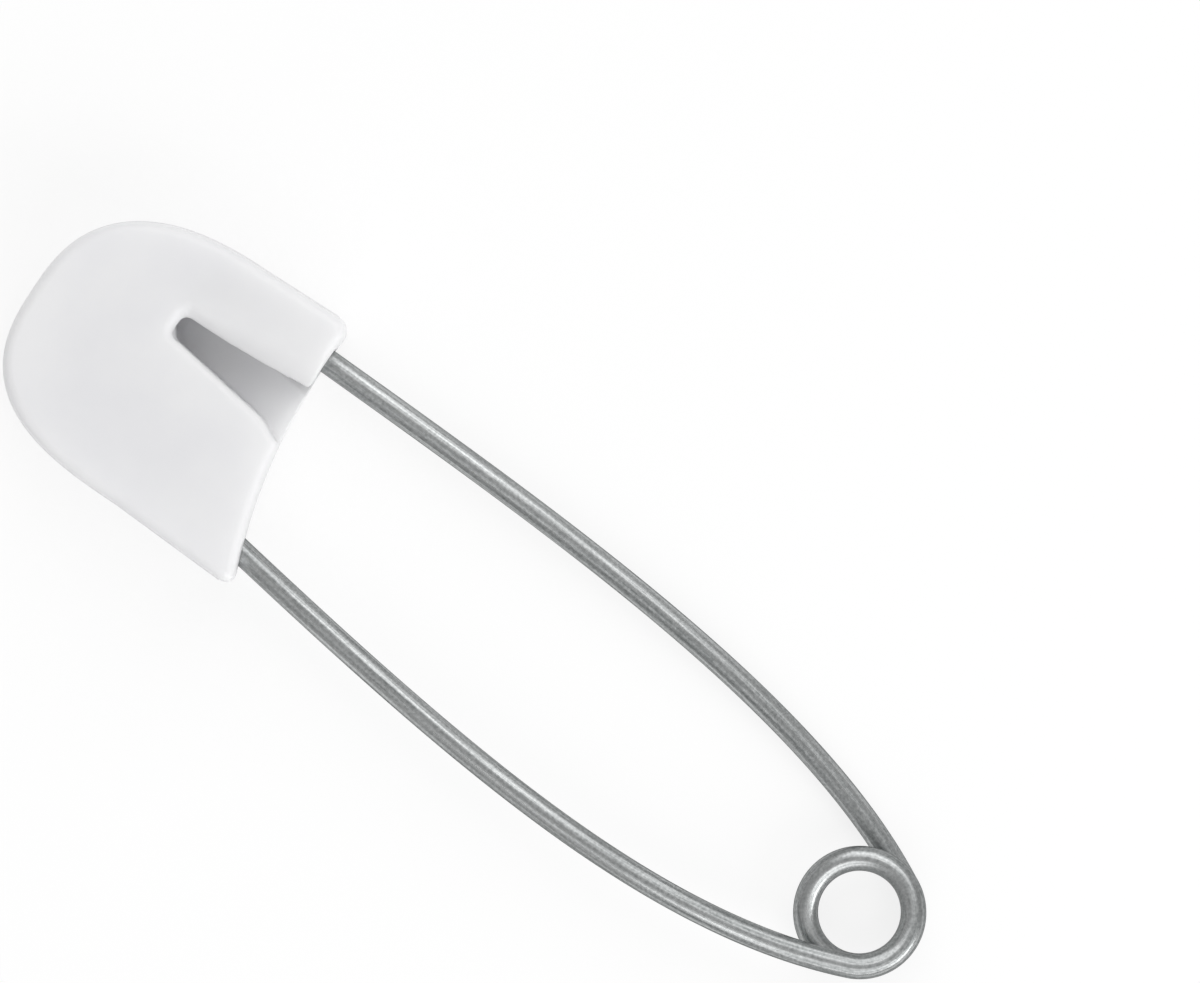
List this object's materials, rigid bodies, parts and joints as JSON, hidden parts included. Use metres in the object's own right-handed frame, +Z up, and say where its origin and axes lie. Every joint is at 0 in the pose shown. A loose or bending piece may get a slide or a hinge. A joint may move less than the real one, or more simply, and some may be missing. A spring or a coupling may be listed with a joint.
{
  "type": "safety pin",
  "caption": "Nappy-type safety pin: sprung steel wire with a coil, a fixed arm held in a broad white plastic cap, and a pin arm that lifts out through the cap's slot.",
  "frame": {"origin": "under the middle of the closed pin's box, on the surface it lies on", "axes": "+X from the cap's round end towards the coil, +Y towards the pin arm's side, +Z up out of the cap's front face, where the slot is"},
  "size_m": [0.0551, 0.0154, 0.006],
  "materials": {
    "white_plastic": "moulded white plastic, semi-gloss",
    "drawn_steel": "bright drawn spring wire, nickel plated"
  },
  "bodies": {
    "frame": {"cap": "white_plastic", "fixed_arm": "drawn_steel", "spring_coil": "drawn_steel"},
    "pin": {"pin_arm": "drawn_steel"}
  },
  "joints": [
    {"name": "pin_release", "type": "hinge", "parent": "frame", "child": "pin", "pos_m": [0.02424, -0.0024, 0.00063], "axis": [0, 0.8231, 0.5678], "range_deg": [0, 12], "stiffness_Nm_per_rad": 0.5, "deforming": ["spring_coil"]}
  ]
}
